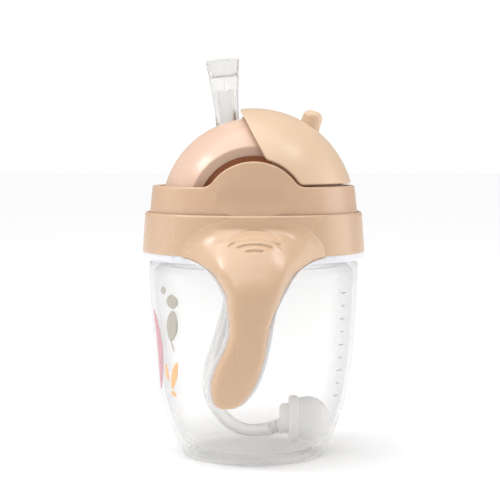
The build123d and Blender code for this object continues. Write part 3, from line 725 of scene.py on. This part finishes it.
def make_handle_shell(material):
    """The peach shell of the ring and both handles in one skin, each bell flowing softly into
    the ring."""
    mesh = voxel_skin("handle_shell")
    points = mesh_points(mesh)
    out = np.abs(points[:, 0]) / MM
    up = points[:, 2] / MM
    reach, ring = from_axis(points)
    outside = (reach > ring - SKIN_DEPTH) & (up > WALL_LOW) & (up < WALL_HIGH)
    on_bell = up > RING_HEIGHTS[0]
    kept_share = 1 - DRAWN_IN_SHARE * fade(up, *DRAWN_IN_HEIGHTS)
    proud = np.maximum(reach - ring, 0) * kept_share * on_bell
    points[:, :2] *= np.where((reach > ring) & on_bell, (ring + proud) / reach, 1)[:, None]
    above_edge = up - np.interp(out, BELL_EDGE_OUT, BELL_EDGE_UP)
    weight = fade(out, *PAST_MIDDLE) * (1 - fade(out, *PAST_BELL)) * fade(above_edge, *OVER_EDGE)
    weight *= (1 - fade(up, *NEAR_TOP)) * fade(reach - ring, *OFF_INSIDE)
    relax(points, mesh_edges(mesh), weight)
    reach, ring = from_axis(points)
    on_ring = outside & (reach < ring + ON_RING_WITHIN)
    points[:, :2] *= np.where(on_ring, ring / reach, 1)[:, None]
    press_grooves(points, np.where(outside & (reach > ring), np.sign(points[:, 1]), 0))
    low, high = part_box("handle_shell")
    points = np.clip(points, np.array(low), np.array(high))
    mesh.vertices.foreach_set("co", points.ravel())
    mesh.update()
    shell = show_mesh("handle_ring_shell", mesh, material)
    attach(shell, "cup")
    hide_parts("handle_shell")


# ---------------------------------------------------------------- print on the cup
INK_LIFT = 0.00007
INK_SINK = -0.00004
OUTSIDE_CUP = 0.06
# Lengths round the cup are turned into angles at this radius
PRINT_RADIUS = 0.037
# Rows and columns of faces
SHAPE_GRID = (32, 8)
TICK_GRID = (6, 2)
SPINE_STEP = 0.01
LEAF_TIP_SHARE = 0.04
LEAF_BLUNTNESS = 0.6
TICKS = 9
TICK_DEGREES = 327.0
TICK_LOWEST = 24.0
TICK_SPACING = 4.6
LONG_TICK = 3.2
SHORT_TICK = 1.8
TICK_HALF_WIDTH = 0.2


def cup_surface():
    """A lookup of the cup's outer skin: point and outward normal at an angle and a height."""
    tree = BVHTree.FromObject(nodes["cup_body"], bpy.context.evaluated_depsgraph_get())

    def look(angle, height):
        outward = Vector((math.cos(angle), math.sin(angle), 0))
        start = outward * OUTSIDE_CUP + Vector((0, 0, height))
        point, normal, _, _ = tree.ray_cast(start, -outward)
        return point, normal

    return look


def print_patch(name, surface, degrees, height, spine, half_width, grid, material):
    """A thin closed patch of ink that hugs the cup, centred at an angle and a height in
    millimetres. spine(t) gives millimetres along and up from the centre, half_width(t) the
    ink's half width there, both for t from 0 to 1."""
    rows, columns = grid
    vertices = []
    for layer in (INK_LIFT, INK_SINK):
        for row in range(rows + 1):
            t = row / rows
            here = Vector(spine(t))
            before = Vector(spine(max(t - SPINE_STEP, 0)))
            ahead = (Vector(spine(min(t + SPINE_STEP, 1))) - before).normalized()
            sideways = Vector((-ahead.y, ahead.x))
            for column in range(columns + 1):
                s = 2 * column / columns - 1
                spot = here + sideways * s * half_width(t)
                angle = math.radians(degrees) + spot.x * MM / PRINT_RADIUS
                point, normal = surface(angle, height * MM + spot.y * MM)
                vertices.append(point + normal * layer)
    width = columns + 1
    back = (rows + 1) * width
    faces = grid_faces(rows, columns)
    faces.extend(face[::-1] for face in grid_faces(rows, columns, first=back))
    ends = [(row * width + column, 1) for column in range(columns) for row in (0, rows)]
    sides = [(row * width + column, width) for row in range(rows) for column in (0, columns)]
    for corner, onward in ends + sides:
        faces.append((corner, corner + onward, back + corner + onward, back + corner))
    patch = mesh_piece(name, vertices, faces, material)
    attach(patch, "cup")


def leaf_width(widest):
    """Half width of a leaf with blunt ends."""
    return lambda t: widest * (LEAF_TIP_SHARE + math.sin(math.pi * t) ** LEAF_BLUNTNESS)


def arc_spine(radius, start, sweep, centre):
    """A circular spine, angles in degrees."""
    def spine(t):
        angle = math.radians(start + sweep * t)
        return (centre[0] + radius * math.cos(angle), centre[1] + radius * math.sin(angle))
    return spine


def line_spine(x0, z0, x1, z1):
    return lambda t: (x0 + (x1 - x0) * t, z0 + (z1 - z0) * t)


def tick_width(t):
    """The same half width all along a tick."""
    return TICK_HALF_WIDTH


def make_print():
    """Plain puffs, a crescent and leaves on the left of the cup, and a scale on the right."""
    surface = cup_surface()
    sand = print_ink("ink_sand", (0.46, 0.43, 0.37))
    rose = print_ink("ink_rose", (0.62, 0.33, 0.36))
    amber = print_ink("ink_amber", (0.86, 0.50, 0.24))
    grey = print_ink("ink_grey", (0.50, 0.50, 0.51))
    # Name, degrees round and millimetres up of its centre, spine, widest half width, ink
    shapes = [
        ("print_puff_small", 212.5, 61.6, line_spine(-1.6, -0.3, 1.8, 0.5), 1.3, sand),
        ("print_puff_large", 220.6, 58.0, line_spine(0.0, 2.5, 0.0, -2.5), 3.0, sand),
        ("print_cloud", 220.0, 49.3, line_spine(1.0, 5.6, -1.4, -5.4), 3.0, sand),
        ("print_stem", 218.6, 42.6, line_spine(-0.6, 2.2, 1.3, -2.4), 0.35, sand),
        ("print_crescent", 204.6, 39.6, arc_spine(22.8, 39.5, -79, (-22.8, 0)), 2.3, rose),
        ("print_leaf_large", 219.0, 31.4, line_spine(2.4, 5.2, -2.8, -4.8), 1.5, amber),
        ("print_leaf_small", 211.2, 32.4, line_spine(-0.3, 3.0, 0.3, -3.2), 1.0, amber),
        ("print_leaf_low", 215.4, 24.9, line_spine(-1.7, 0.5, 1.8, -0.5), 0.9, amber),
    ]
    for name, degrees, height, spine, widest, ink in shapes:
        print_patch(name, surface, degrees, height, spine, leaf_width(widest), SHAPE_GRID, ink)
    for index in range(TICKS):
        name = f"scale_tick_{index + 1}"
        height = TICK_LOWEST + TICK_SPACING * index
        reach = LONG_TICK if index % 2 == 0 else SHORT_TICK
        spine = line_spine(-reach / 2, 0, reach / 2, 0)
        print_patch(name, surface, TICK_DEGREES, height, spine, tick_width, TICK_GRID, grey)


# ---------------------------------------------------------------- the scene
def dress_cad_nodes(looks):
    for name, material in looks.items():
        mesh = nodes[name].data
        mesh.materials.clear()
        mesh.materials.append(material)


def make_floor():
    """A large pale sheet under the cup."""
    places = [FLOOR_SIDE * (step / FLOOR_STEPS - 0.5) for step in range(FLOOR_STEPS + 1)]
    vertices = [(x, y, 0.0) for y in places for x in places]
    faces = grid_faces(FLOOR_STEPS, FLOOR_STEPS)
    mesh_piece("floor", vertices, faces, floor_paper("floor_paper"))


make_camera()
# The second colour of each clear material is painted shade where its wall is seen edge on
silicone = clear_plastic("silicone", (0.95, 0.945, 0.935), (0.62, 0.60, 0.58), 0.12, 0.80, 1.33)
make_hose(clear_plastic("hose_silicone", (0.97, 0.965, 0.955), (0.80, 0.79, 0.77), 0.14, 0.88, 1.25))
make_spout(silicone)
make_handle_shell(satin_plastic("shell_peach", (0.61, 0.415, 0.275), 0.27))
dress_cad_nodes({
    "cup_body": milky_plastic("cup_clear", (0.96, 0.955, 0.945), (0.64, 0.63, 0.65), 0.24),
    "cup_thread": milky_plastic("thread_clear", (0.93, 0.925, 0.915), (0.60, 0.59, 0.61), 0.25),
    "collar_thread": satin_plastic("thread_peach", (0.66, 0.43, 0.27), 0.40),
    "handle_liner": satin_plastic("liner_white", (0.74, 0.75, 0.79), 0.36),
    "lid_collar": satin_plastic("collar_peach", (0.61, 0.405, 0.27), 0.29),
    # The dome's second colour is painted shade for the round recess in each cheek
    "lid_dome": dome_plastic("dome_peach", (0.70, 0.49, 0.375), (0.62, 0.24, 0.09), 0.27),
    "sliding_cover": satin_plastic("cover_peach", (0.69, 0.50, 0.345), 0.33),
    "straw_connector": satin_plastic("connector_white", (0.86, 0.87, 0.86), 0.40),
    "weight_cap": satin_plastic("weight_milky_cap", (0.95, 0.94, 0.925), 0.38),
    "weight_base": satin_plastic("weight_milky_base", (0.95, 0.94, 0.925), 0.40),
    "weight_core": turned_steel("weight_steel"),
    "seal_gasket": clear_plastic("gasket_silicone", (0.93, 0.93, 0.93), (0.7, 0.7, 0.7), 0.25, 0.5, 1.33),
    "vent_valve": clear_plastic("valve_silicone", (0.93, 0.93, 0.93), (0.7, 0.7, 0.7), 0.25, 0.5, 1.33),
})
make_print()
make_world(ambient=0.38, seen_straight=1.02, seen_through=1.08)
make_overhead(strength=2.35, spread_degrees=70, tilt_degrees=(8, -10, 0))
for soft_box in SOFT_BOXES:
    make_soft_box(*soft_box)
make_floor()
